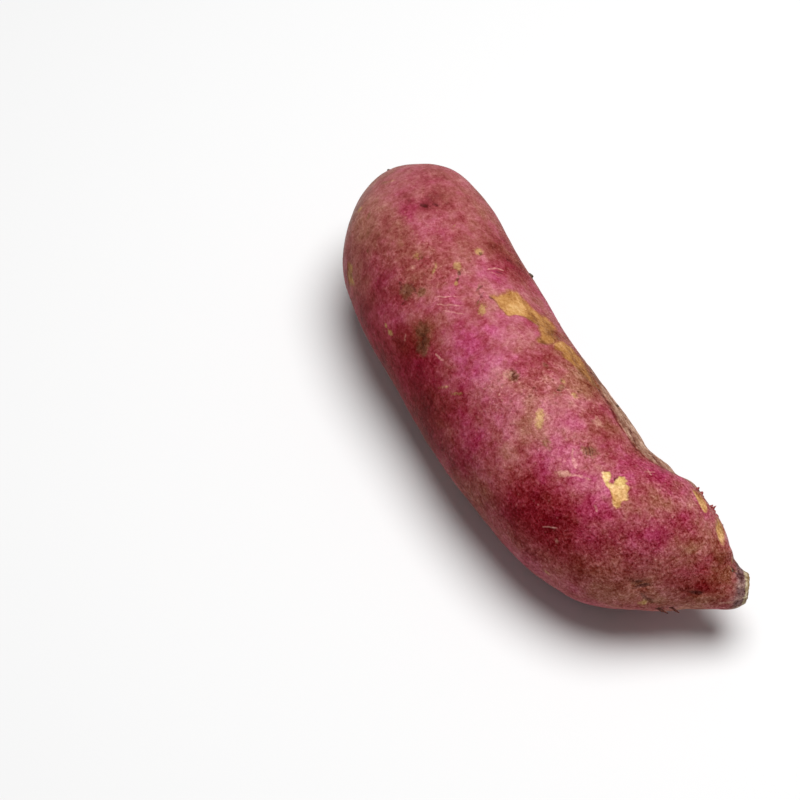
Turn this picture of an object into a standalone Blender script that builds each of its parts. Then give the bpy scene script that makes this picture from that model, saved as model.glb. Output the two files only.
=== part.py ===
"""A sweet potato, dug and dried: one swollen root lying on its side.

The blunt far end points along -X. The other end bends towards +Y and ends in the cut vine stalk. +Z is up,
the root rests on a small flat spot at Z = 0, and the origin is at the middle of its box, on the surface
that it lies on. Sizes here are in millimetres, and the mesh is made in metres.
"""

from collections import namedtuple

import bmesh
import bpy
import numpy as np

MM = 0.001
RINGS = 76              # round the root, from the blunt tip to the cut stalk
SEGMENTS = 56           # in each ring

# Down the middle line: its x, y and z, and half the root's thickness across and upwards.
# The first station is the blunt tip itself, where a dome brings the thickness to nothing.
Station = namedtuple("Station", "x y z across upward")
STATIONS = (
    Station(-97.0, 6.0, 28.0, 24.5, 25.0),
    Station(-73.0, 3.5, 28.0, 27.0, 27.5),
    Station(-49.0, -1.0, 27.6, 27.7, 27.7),
    Station(-23.0, -3.5, 27.2, 27.8, 27.2),
    Station(3.0, -3.8, 27.0, 27.8, 27.2),
    Station(27.0, -3.8, 26.8, 27.0, 26.8),
    Station(47.0, -1.6, 26.4, 25.6, 26.2),
    Station(61.0, 4.2, 25.8, 23.8, 24.6),
    Station(71.0, 11.2, 24.6, 18.2, 19.4),
    Station(80.0, 17.0, 23.0, 13.2, 14.2),
    Station(86.0, 20.8, 21.8, 9.0, 9.4),
    Station(88.8, 23.6, 21.4, 6.2, 6.4),
    Station(90.3, 26.2, 21.4, 5.6, 5.6),
)
DOME_LENGTH = 34.0      # the blunt end is half an egg this long
FULL_RADIUS = 20.0      # swellings, eyes and waves fade where the root is thinner than this
FLAT_DEPTH = 0.6        # how far the underside is pressed flat where the root rests
STALK_RINGS = ((0.93, 0.5), (0.78, 0.55), (0.4, 0.1))   # cut face: share of its radius, height above its rim
STALK_HEART = -0.2      # the pith at its centre has shrunk this far below the rim

# Degrees go round the middle line from +Y (0) over the top (90) to -Y (180).
# Swellings and hollows of the whole body: where, half their length and breadth, and their height.
Lump = namedtuple("Lump", "x turn length breadth height")
LUMPS = (
    Lump(53.0, 28.0, 10.0, 17.0, -2.1),     # the waist in front of the shoulder
    Lump(72.0, 40.0, 12.0, 16.0, 3.2),      # the shoulder above the stalk
    Lump(83.0, 141.0, 5.0, 7.0, -1.6),      # the hollow beside the stalk
    Lump(-86.0, 175.0, 12.0, 14.0, -1.2),
    Lump(-76.0, 20.0, 13.0, 14.0, -1.3),
    Lump(30.0, 130.0, 26.0, 12.0, -0.5),
    Lump(-60.0, 320.0, 20.0, 16.0, -0.9),
    Lump(12.0, 330.0, 26.0, 14.0, 0.8),
)

# Eyes, the creases that side roots grew from: where, half their width across the root, and their depth.
Eye = namedtuple("Eye", "x turn width depth")
EYES = (
    Eye(-62.0, 89.0, 5.5, 0.8),
    Eye(-67.0, 140.0, 5.0, 0.5),
    Eye(-36.0, 125.0, 5.0, 0.7),
    Eye(-31.0, 66.0, 4.5, 0.5),
    Eye(-21.0, 134.0, 6.0, 0.8),
    Eye(8.0, 98.0, 4.5, 0.7),
    Eye(19.0, 73.0, 4.5, 0.6),
    Eye(43.0, 90.0, 5.0, 0.6),
    Eye(69.0, 159.0, 5.5, 0.9),
    Eye(20.0, 165.0, 5.5, 0.8),
    Eye(-70.0, 10.0, 5.0, 0.8),
    Eye(-14.0, -8.0, 5.5, 0.9),
    Eye(34.0, -24.0, 5.0, 0.8),
    Eye(-46.0, 312.0, 5.0, 0.7),
    Eye(10.0, 226.0, 5.5, 0.8),
    Eye(-58.0, 216.0, 5.0, 0.7),
)
EYE_LENGTH = 3.2        # half the length of every eye along the root
BROW_AHEAD = 4.4        # each eye has a low brow this far nearer the blunt tip
BROW_SHARE = 0.45       # the brow's height as a share of the eye's depth

# Long waves that keep the root from being a true round: waves along, waves round, phase and height.
WAVES = (
    (1.5, 2, 0.4, 0.35),
    (2.5, 3, 2.1, 0.25),
    (4.0, 1, 4.0, 0.2),
    (3.5, 5, 5.2, 0.12),
)


def spline(at, knots, values):
    """Values at any places on the smooth curve through the knots."""
    slopes = np.gradient(values, knots, axis=0)
    i = np.clip(np.searchsorted(knots, at) - 1, 0, len(knots) - 2)
    span = (knots[i + 1] - knots[i])[:, None]
    u = (at - knots[i])[:, None] / span
    start = values[i] * (1 + 2 * u) + slopes[i] * span * u
    end = values[i + 1] * (3 - 2 * u) + slopes[i + 1] * span * (u - 1)
    return start * (1 - u) ** 2 + end * u**2


def dome(run):
    """Share of the full thickness that the blunt end has at each run from its tip."""
    return np.sqrt(1 - (1 - np.minimum(run / DOME_LENGTH, 1)) ** 2)


def even_runs(knots, table):
    """Runs down the middle line that space the rings evenly over the skin, also over the dome."""
    run = knots[-1] * np.linspace(0, 1, 4000) ** 2
    thickness = spline(run, knots, table)[:, 3] * dome(run)
    over_skin = np.concatenate([[0], np.cumsum(np.hypot(np.diff(run), np.diff(thickness)))])
    return np.interp(np.linspace(0, over_skin[-1], RINGS + 1)[1:], over_skin, run)


def round_offset(turn, centre):
    """Signed angle from centre, the short way round, in radians."""
    return (turn - np.radians(centre) + np.pi) % (2 * np.pi) - np.pi


def relief(x, run, radius, turn):
    """How far the skin stands out of the plain body, for each ring and each place round it."""
    x, run, radius = x[:, None], run[:, None], radius[:, None]
    height = np.zeros((x.shape[0], turn.shape[0]))
    for lump in LUMPS:
        round_mm = round_offset(turn, lump.turn) * radius
        height += lump.height * np.exp(-(((x - lump.x) / lump.length) ** 2) - (round_mm / lump.breadth) ** 2)
    for eye in EYES:
        aside = (round_offset(turn, eye.turn) * radius / eye.width) ** 2
        crease = np.exp(-(((x - eye.x) / EYE_LENGTH) ** 2) - aside)
        brow = np.exp(-(((x - eye.x + BROW_AHEAD) / EYE_LENGTH) ** 2) - aside)
        height += eye.depth * (BROW_SHARE * brow - crease)
    for along, around, phase, wave_height in WAVES:
        height += wave_height * np.sin(2 * np.pi * along * run / run[-1] + around * turn + phase)
    return height * np.minimum(1, radius / FULL_RADIUS)


def skin_points():
    """The rings of the skin, as an array of rings by segments by x, y and z, and the blunt tip."""
    table = np.array(STATIONS)
    steps = np.linalg.norm(np.diff(table[:, :3], axis=0), axis=1)
    knots = np.concatenate([[0], np.cumsum(steps)])
    run = even_runs(knots, table)
    at = spline(run, knots, table)
    near = 0.01
    forward = spline(run + near, knots, table)[:, :3] - spline(run - near, knots, table)[:, :3]
    forward /= np.linalg.norm(forward, axis=1)[:, None]
    side = np.cross([0.0, 0.0, 1.0], forward)
    side /= np.linalg.norm(side, axis=1)[:, None]
    top = np.cross(forward, side)

    turn = 2 * np.pi * np.arange(SEGMENTS) / SEGMENTS
    across = at[:, 3] * dome(run)
    upward = at[:, 4] * dome(run)
    raised = relief(at[:, 0], run, (across + upward) / 2, turn)
    to_side = (across[:, None] + raised) * np.cos(turn)
    to_top = (upward[:, None] + raised) * np.sin(turn)
    rings = at[:, None, :3] + side[:, None] * to_side[..., None] + top[:, None] * to_top[..., None]
    return rings, table[0, :3], forward[-1]


def cut_face(rim, outward):
    """The sawn-off stalk: rings that round its edge and cross its face, and the shrunken heart."""
    middle = rim.mean(axis=0)
    rings = [middle + (rim - middle) * share + outward * height for share, height in STALK_RINGS]
    return np.array(rings), middle + outward * STALK_HEART


def settle(points):
    """Lays the root down: its lowest parts are pressed flat at z = 0, with the box's middle over the origin."""
    points = points - [0, 0, points[:, 2].min() + FLAT_DEPTH]
    points[:, 2] = np.maximum(points[:, 2], 0)
    middle = (points.min(axis=0) + points.max(axis=0)) / 2
    return points - [middle[0], middle[1], 0]


def root_mesh():
    """One closed mesh: a fan at the blunt tip, rings of quads, and a fan over the cut face."""
    rings, tip, outward = skin_points()
    face_rings, heart = cut_face(rings[-1], outward)
    rings = np.concatenate([rings, face_rings])
    points = settle(np.concatenate([rings.reshape(-1, 3), [tip, heart]])) * MM

    shape = bmesh.new()
    verts = [shape.verts.new(point) for point in points]
    tip_vert, heart_vert = verts[-2:]
    for ring in range(len(rings) - 1):
        here = ring * SEGMENTS
        for segment in range(SEGMENTS):
            beside = (segment + 1) % SEGMENTS
            corners = (here + segment, here + SEGMENTS + segment, here + SEGMENTS + beside, here + beside)
            shape.faces.new([verts[corner] for corner in corners])
    last = (len(rings) - 1) * SEGMENTS
    for segment in range(SEGMENTS):
        beside = (segment + 1) % SEGMENTS
        shape.faces.new((tip_vert, verts[segment], verts[beside]))
        shape.faces.new((heart_vert, verts[last + beside], verts[last + segment]))
    bmesh.ops.recalc_face_normals(shape, faces=shape.faces)

    mesh = bpy.data.meshes.new("tuber")
    shape.to_mesh(mesh)
    shape.free()
    mesh.shade_smooth()
    return mesh


def skin_material():
    """Wine-pink, matt, slightly waxy skin."""
    material = bpy.data.materials.new("skin")
    material.use_nodes = True
    shader = material.node_tree.nodes["Principled BSDF"]
    shader.inputs["Base Color"].default_value = (0.33, 0.055, 0.105, 1.0)
    shader.inputs["Roughness"].default_value = 0.55
    shader.inputs["Metallic"].default_value = 0.0
    return material


def main():
    for old in list(bpy.data.objects):
        bpy.data.objects.remove(old)
    tuber = bpy.data.objects.new("tuber", root_mesh())
    tuber.data.materials.append(skin_material())
    bpy.context.scene.collection.objects.link(tuber)


main()
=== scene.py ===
"""The looks of the sweet potato: its skin in fine relief and colour, the floor, the light and the camera."""

from collections import namedtuple

import bmesh
import bpy
import numpy as np
from mathutils import Matrix, Vector, noise


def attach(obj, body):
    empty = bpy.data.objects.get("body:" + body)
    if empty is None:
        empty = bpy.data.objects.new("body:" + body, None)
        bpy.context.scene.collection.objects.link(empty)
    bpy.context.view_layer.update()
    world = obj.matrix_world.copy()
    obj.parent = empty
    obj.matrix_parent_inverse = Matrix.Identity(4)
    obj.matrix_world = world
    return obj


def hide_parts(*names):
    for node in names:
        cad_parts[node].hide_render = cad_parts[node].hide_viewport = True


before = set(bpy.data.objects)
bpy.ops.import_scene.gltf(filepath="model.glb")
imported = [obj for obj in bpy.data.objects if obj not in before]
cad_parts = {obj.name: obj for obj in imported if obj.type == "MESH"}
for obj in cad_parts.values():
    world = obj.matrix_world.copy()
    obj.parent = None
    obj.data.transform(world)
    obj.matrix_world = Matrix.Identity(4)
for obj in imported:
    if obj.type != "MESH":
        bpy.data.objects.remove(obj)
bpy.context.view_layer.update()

MM = 0.001
FAR = 99.0  # beyond any distance that counts, in millimetres
WELD = 1e-6  # corners of the solid closer than this, in metres, are one
QUAD_BEND = 0.7  # how far two triangles may bend and skew, in radians, to be joined
QUAD_SKEW = 1.2
SKIN_LEVELS = 2
STRAY_SIZE = 3.2  # the edges of marks stray in waves this long, this far
STRAY_REACH = 0.55

# The middle line of the root in the row's frame, in millimetres. Places on the skin are given as x and as
# degrees round this line, from +Y (0) over the top (90) to -Y (180).
MIDDLE = np.array((
    (-96, 7.3, 28), (-72, 4.8, 28), (-48, 0.3, 27.6), (-22, -2.2, 27.2), (4, -2.5, 27),
    (28, -2.5, 26.8), (48, -0.3, 26.4), (62, 5.5, 25.8), (72, 12.5, 24.6), (81, 18.3, 23),
    (87, 22, 21.8), (90, 25, 21.4), (91.5, 27.5, 21.4),
))


def smooth_step(value, low, high):
    """0 below low, 1 above high, and a smooth rise between."""
    share = np.clip((value - low) / (high - low), 0, 1)
    return share * share * (3 - 2 * share)


def field(points, size, seed, octaves=1):
    """Smooth noise from about -1 to 1 at each point, with features of that size."""
    total = np.zeros(len(points))
    for octave in range(octaves):
        scale = 2.0**octave / size
        shift = Vector((seed * 17.3, seed * 5.1 + octave * 3.7, seed * 9.9))
        values = [noise.noise(Vector(p) * scale + shift) for p in points]
        total += np.array(values) / 2**octave
    return total


def each(kind, rows):
    """The rows of a table, with the names of that kind for their columns."""
    return [kind(*row) for row in rows]


def add_object(name, data):
    """A new object in the scene."""
    made = bpy.data.objects.new(name, data)
    bpy.context.scene.collection.objects.link(made)
    return made


def bell(value, middle, width):
    """1 at the middle, falling smoothly to 0 on both sides."""
    return np.exp(-(((value - middle) / width) ** 2))


def fine_skin(node):
    """The node's mesh as smooth, dense quads, in a new object."""
    shape = bmesh.new()
    shape.from_mesh(node.data)
    bmesh.ops.remove_doubles(shape, verts=shape.verts, dist=WELD)
    bmesh.ops.join_triangles(
        shape, faces=shape.faces, angle_face_threshold=QUAD_BEND, angle_shape_threshold=QUAD_SKEW,
    )
    coarse = bpy.data.meshes.new("coarse")
    shape.to_mesh(coarse)
    shape.free()
    holder = add_object("holder", coarse)
    finer = holder.modifiers.new("finer", "SUBSURF")
    finer.levels = finer.render_levels = SKIN_LEVELS
    graph = bpy.context.evaluated_depsgraph_get()
    mesh = bpy.data.meshes.new_from_object(holder.evaluated_get(graph))
    bpy.data.objects.remove(holder)
    split_near_marks(mesh)
    mesh.name = "skin"
    mesh.materials.clear()
    mesh.shade_smooth()
    return add_object("skin", mesh)


def split_near_marks(mesh):
    """Halves the faces round the scrapes and thin lines, and again at the lines, for sharp edges."""
    lines = [stroke for strokes in STROKES.values() for stroke in strokes]
    for reach in SPLIT_REACHES:
        places = Places(mesh)
        close = np.min([places.off_line(line)[0] for line in lines], axis=0) < reach
        if reach == SPLIT_REACHES[0]:
            close |= np.any([places.inside(scrape.outline) > -reach for scrape in SCRAPES], axis=0)
        shape = bmesh.new()
        shape.from_mesh(mesh)
        shape.verts.ensure_lookup_table()
        edges = [edge for edge in shape.edges if close[edge.verts[0].index] and close[edge.verts[1].index]]
        bmesh.ops.subdivide_edges(shape, edges=edges, cuts=1, use_grid_fill=True)
        shape.to_mesh(mesh)
        shape.free()


def wrap(degrees):
    """The same turn as a number from -180 to 180."""
    return (degrees + 180) % 360 - 180


def middle_at(x):
    """The y and z of the middle line at any x."""
    return np.array([np.interp(x, MIDDLE[:, 0], MIDDLE[:, k]) for k in (1, 2)])


def read(mesh, name):
    """One of the vectors that the mesh has for each of its points."""
    values = np.empty(len(mesh.vertices) * 3)
    mesh.vertices.foreach_get(name, values)
    return values.reshape(-1, 3)


class Places:
    """Where each point of the skin is: in space, along x, and round the middle line."""

    def __init__(self, mesh):
        self.point = read(mesh, "co") / MM
        self.out = read(mesh, "normal")
        self.x = self.point[:, 0]
        aside, above = self.point[:, 1:].T - middle_at(self.x)
        self.turn = np.degrees(np.arctan2(above, aside))
        self.radius = np.hypot(above, aside)
        self.stray = [STRAY_REACH * field(self.point, STRAY_SIZE, seed, 2) for seed in (31, 32)]

    def off(self, x, turn, ragged=0.0):
        """How far each point is along and round the skin from a place on it, in millimetres."""
        ahead = self.x - x + ragged * self.stray[0]
        return ahead, np.radians(wrap(self.turn - turn)) * self.radius + ragged * self.stray[1]

    def off_line(self, line, ragged=0.0):
        """How far each point is from the line between two places, and its share of the way along it."""
        ahead, aside = self.off(*line.start, ragged)
        span = line.end[0] - line.start[0]
        rise = np.radians(line.end[1] - line.start[1]) * self.radius
        share = np.clip((ahead * span + aside * rise) / (span**2 + rise**2), 0, 1)
        return np.hypot(ahead - share * span, aside - share * rise), share

    def blob(self, x, turn, length, breadth, lean=0.0, ragged=0.0):
        """1 at a place, falling smoothly to 0. Its length leans from +X to the way that turn grows."""
        ahead, aside = self.off(x, turn, ragged)
        cosine, sine = np.cos(np.radians(lean)), np.sin(np.radians(lean))
        along, across = ahead * cosine + aside * sine, aside * cosine - ahead * sine
        return np.exp(-((along / length) ** 2) - (across / breadth) ** 2)

    def inside(self, outline):
        """How far each point lies inside an outline of x and degrees, or below 0 how far outside."""
        x, turn = np.array(outline).T
        near = np.argmin(np.hypot(*self.off(x.mean(), turn.mean())))
        radius = self.radius[near]
        corners = np.stack([x - x.mean(), np.radians(turn - turn.mean()) * radius], axis=1)
        spots = np.stack([self.x - x.mean(), np.radians(wrap(self.turn - turn.mean())) * radius], axis=1)
        nearest = np.full(len(spots), FAR)
        crossings = np.zeros(len(spots), dtype=int)
        for start, end in zip(corners, np.roll(corners, -1, axis=0)):
            edge, away = end - start, spots - start
            share = np.clip(away @ edge / (edge @ edge), 0, 1)
            nearest = np.minimum(nearest, np.linalg.norm(away - share[:, None] * edge, axis=1))
            spans = (start[1] > spots[:, 1]) != (end[1] > spots[:, 1])
            rise = np.where(edge[1] == 0, 1.0, edge[1])
            crossings += spans & (spots[:, 0] < start[0] + edge[0] * away[:, 1] / rise)
        return np.where(crossings % 2 == 1, nearest, -nearest)


NOISE_STEP = 7.7  # how far each seed moves a noise and the dots
DOT_STEP = (0.31, 0.17, 0)
NOISE_CLIMB = 0.4  # how much a noise climbs over the size of its features
GAMMA = 2.2
LEAST_SHOWN = (0.03, 0, 0)  # the grain leaves at least this much red, green and blue


class Graph:
    """A material's node tree, with short calls for the kinds of node that it needs."""

    def __init__(self, name):
        self.material = bpy.data.materials.new(name)
        self.material.use_nodes = True
        self.nodes = self.material.node_tree.nodes
        self.links = self.material.node_tree.links
        self.shader = self.nodes["Principled BSDF"]
        self.place = self.nodes.new("ShaderNodeTexCoord").outputs["Object"]

    def put(self, socket, value):
        if isinstance(value, bpy.types.NodeSocket):
            self.links.new(value, socket)
        else:
            socket.default_value = value

    def node(self, kind, inputs, output=0, **settings):
        """A new node's output, with its inputs and settings filled in."""
        made = self.nodes.new("ShaderNode" + kind)
        for name, value in settings.items():
            setattr(made, name, value)
        for name, value in inputs.items():
            self.put(made.inputs[name], value)
        return made.outputs[output]

    def given(self, name):
        """What is stored on the mesh under that name."""
        return self.node("Attribute", {}, "Fac", attribute_name=name)

    def noise(self, name):
        """A noise of the table, from 0 to 1."""
        size, detail, rough, seed, *stretch = NOISES[name]
        inputs = {"Vector": self.place, "W": seed * NOISE_STEP, "Scale": 1 / (size * MM), "Detail": detail,
                  "Roughness": rough}
        if stretch:
            inputs["Vector"] = self.node("Mapping", {0: self.place, "Scale": stretch[0]})
        return self.node("TexNoise", inputs, "Fac", noise_dimensions="4D")

    def wave(self, name, middle=0.5):
        """The same noise, moved so that its middle is 0."""
        return self.sum(self.noise(name), -middle)

    def dots(self, name, ragged):
        """1 in the uneven dots of that row of the table, and 0 around them."""
        size, radius, share, seed = DOTS[name]
        place = self.node("Mapping", {0: self.place, "Location": [seed * step for step in DOT_STEP]})
        away = self.node("TexVoronoi", {"Vector": place, "Scale": 1 / (size * MM)}, "Distance")
        chance = self.node("SeparateColor", {0: away.node.outputs["Color"]}, "Red")
        reach = radius / size
        away = self.sum(away, self.times(ragged, 0.6 * reach))
        shape = self.rise(away, reach * 0.6, reach * 1.4, 1.0, 0.0)
        return self.times(shape, self.rise(chance, share - 0.02, share + 0.02, 1.0, 0.0))

    def threads(self, name, width):
        """1 along thin lines where a noise is at its middle, and 0 between them."""
        off = self.node("Math", {0: self.wave(name)}, operation="ABSOLUTE")
        return self.rise(off, 0.0, width / NOISES[name][0] * NOISE_CLIMB, 1.0, 0.0)

    def brighten(self, base, amount):
        """The colour made lighter by an amount that shows alike in red, green and blue."""
        shown = self.node("Gamma", {0: base, "Gamma": 1 / GAMMA})
        shown = self.node("VectorMath", {0: shown, 1: amount}, operation="ADD")
        shown = self.node("VectorMath", {0: shown, 1: LEAST_SHOWN}, operation="MAXIMUM")
        return self.node("Gamma", {0: shown, "Gamma": GAMMA})

    def rise(self, value, low, high, start=0.0, end=1.0):
        """Start where the value is under low, end where over high, and a smooth rise between."""
        inputs = {"Value": value, "From Min": low, "From Max": high, "To Min": start, "To Max": end}
        return self.node("MapRange", inputs, interpolation_type="SMOOTHSTEP")

    def sum(self, first, second):
        return self.node("Math", {0: first, 1: second}, operation="ADD")

    def times(self, first, second):
        return self.node("Math", {0: first, 1: second}, operation="MULTIPLY")

    def ramp(self, value, stops):
        """The colour for a value, from stops of value and colour."""
        made = self.nodes.new("ShaderNodeValToRGB")
        ramp = made.color_ramp
        while len(ramp.elements) < len(stops):
            ramp.elements.new(0.5)
        for element, (position, shade) in zip(ramp.elements, stops):
            element.position, element.color = position, colour(*shade)
        self.put(made.inputs[0], value)
        return made.outputs[0]

    def mix(self, share, first, second):
        """Colour that goes from the first to the second as share goes from 0 to 1."""
        return self.node("Mix", {0: share, 6: first, 7: second}, 2, data_type="RGBA")


def colour(red, green, blue):
    """A colour as it shows on a screen, 0 to 255, as the linear values that a shader takes."""
    shown = np.array((red, green, blue)) / 255
    linear = np.where(shown <= 0.04045, shown / 12.92, ((shown + 0.055) / 1.055) ** 2.4)
    return (*linear, 1.0)


# Broad tones of the skin: x, degrees, half length and half breadth, how much lighter, and how much browner
# (or, below 0, how much more magenta) it is there. The darker first, third, fourth and fifth rows are
# painted shade on the lower flank and in the hollow by the stalk.
Tone = namedtuple("Tone", "x turn along around light brown")
TONES = each(Tone, (
    (-25, 186, 45, 20, -0.15, -0.05), (-18, 122, 14, 9, 0.05, 0), (-12, 150, 16, 9, -0.07, -0.15),
    (49, 138, 11, 12, -0.15, -0.15), (89.4, 145, 1.8, 4, -0.12, 0), (-80, 140, 9, 9, -0.02, 0.35),
    (-90, 110, 4, 12, -0.01, 0.3), (-64, 105, 2.8, 3, -0.1, -0.35), (-58.5, 84, 4, 4, -0.08, 0),
    (-38, 155, 10, 6, 0.08, 0), (-20, 153, 8, 6, 0.07, -0.05), (-22, 103, 5, 5, -0.06, -0.1),
    (55, 116, 6, 6, 0.06, -0.05), (56, 78, 8, 8, -0.04, -0.12), (67, 135, 9, 11, -0.05, -0.08),
    (90.5, 118, 2.5, 9, 0.03, 0.25), (-45, 178, 22, 10, 0.05, 0.2), (17, 48, 6, 5, 0.02, 0.5),
    (60, 162, 24, 13, -0.05, 0.12), (-60, 137, 13, 10, -0.04, 0.3), (-74, 128, 8, 11, 0, 0.25),
    (-62, 163, 7, 7, 0.04, 0.4), (-37, 126, 5, 5, -0.05, 0.3), (-21, 132, 6, 8, -0.09, 0.25),
    (-45, 107, 7, 5, -0.02, 0.2), (-33, 85, 5, 5, 0.01, 0.2), (-18, 88, 5, 6, 0, 0.2),
    (-62.5, 90, 2.6, 4, -0.12, -0.1), (-74, 78, 6, 9, -0.04, 0), (-35, 50, 11, 10, -0.11, -0.05),
    (11, 84, 7, 10, -0.13, -0.2), (-12, 107, 7, 4, -0.02, -0.3), (-65, 104, 7, 4, -0.01, -0.25),
    (-45, 140, 11, 8, -0.03, -0.3), (2, 126, 10, 8, 0, -0.3), (-8, 85, 8, 7, 0.05, -0.08),
    (-78, 110, 8, 7, 0.01, 0), (-45, 90, 12, 12, -0.02, 0), (-25, 76, 9, 6, 0.03, -0.05),
    (-55, 50, 20, 12, 0.01, 0.08), (28, 76, 10, 8, 0.05, -0.15), (17, 93, 6, 6, -0.02, 0.12),
    (22, 64, 8, 7, 0, 0.3), (11, 113, 6, 5, -0.02, 0.1), (33, 87, 6, 6, 0.02, 0.12),
    (45, 102, 12, 7, 0.06, -0.12), (8, 108, 7, 6, 0.05, -0.1), (13, 122, 10, 7, 0.07, -0.02),
    (24, 103, 7, 8, 0.06, 0), (58, 62, 10, 8, -0.01, -0.35), (78, 95, 6, 22, 0.01, 0),
    (60, 128, 9, 9, -0.03, -0.25), (77, 122, 5, 12, 0, -0.15), (40, 46, 14, 7, -0.03, 0.12),
    (12, 50, 13, 8, 0, 0.3), (70, 75, 3, 18, 0.02, 0.15), (85, 70, 5, 20, -0.04, 0.25),
    (75, 157, 10, 7, -0.02, 0.3), (84, 186, 9, 9, 0.02, 0.35), (36, 28, 18, 8, 0.04, 0.35),
    (-20, 16, 60, 9, 0.02, 0.15),
))

# Where the skin is scraped off: how pale the old scar is at its low and high x, how deep, and its outline.
Scrape = namedtuple("Scrape", "pale pale_end depth outline")
SCRAPES = (
    Scrape(0.36, 0.1, 0.3, (
        (-20.5, 80), (-19.6, 75), (-20.4, 68.5), (-21.6, 62.5), (-20.5, 58), (-16.8, 55), (-13.5, 53),
        (-10.5, 50), (-10, 44.5), (-8, 41), (-5, 42.5), (-2, 48.5), (1, 52), (3.5, 58),
        (3.5, 66), (2, 70.5), (0.5, 69.5), (-1, 63.5), (-3, 62.5), (-5, 61), (-7.5, 64),
        (-9.5, 66.5), (-10.5, 72), (-10.5, 77), (-11.5, 78.5), (-13, 78), (-15, 79), (-17.5, 79),
    )),
    Scrape(0.45, -0.15, 0.1, (
        (3, 59), (1.5, 47), (4, 41.5), (8, 39.5), (12, 40.5), (17, 41), (22, 43.5),
        (21.5, 50), (16, 53.5), (11.5, 56), (9.5, 58.5), (7, 56.5), (5.5, 61),
    )),
    Scrape(0.85, 0.65, 0.3, (
        (52.5, 95), (52.7, 92), (53.5, 91), (55, 92.5), (56.5, 97.5), (57.6, 97.5), (56.4, 92),
        (55.8, 88.5), (57, 86.8), (58.3, 89), (59, 91.5), (61, 92), (62.5, 97), (64.2, 102),
        (63.6, 106), (64.8, 110), (64.8, 113), (63, 110.5), (61.5, 106), (59.5, 103.5), (57, 102),
        (55.5, 100), (54, 98),
    )),
    Scrape(0.4, 0.6, 0.25, (
        (65.5, 46), (65.5, 40), (67.5, 40), (70, 42), (72.5, 51), (73.5, 60), (71.5, 57.5),
        (69, 53.5),
    )),
    Scrape(0.3, 0.5, 0.25, (
        (75, 45), (74, 35.5), (76, 36), (78, 39.5), (80, 50), (81.5, 59), (82.8, 71.5),
        (80.6, 67), (78.5, 61),
    )),
    Scrape(0.1, 0.3, 0.1, (
        (-67, 165), (-63.5, 160), (-62, 165), (-58, 165), (-61.5, 173), (-65.5, 173),
    )),
)
CREAM = (-12.8, 70, 3.2, 4.5)  # the palest part of the longest scrape: x, degrees, half length and breadth
CREAM_SHARE = 0.32  # and how much paler it is
SPLIT_REACHES = (1.5, 0.9)  # the mesh is finer this far round the scrapes and lines, then the lines alone

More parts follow.
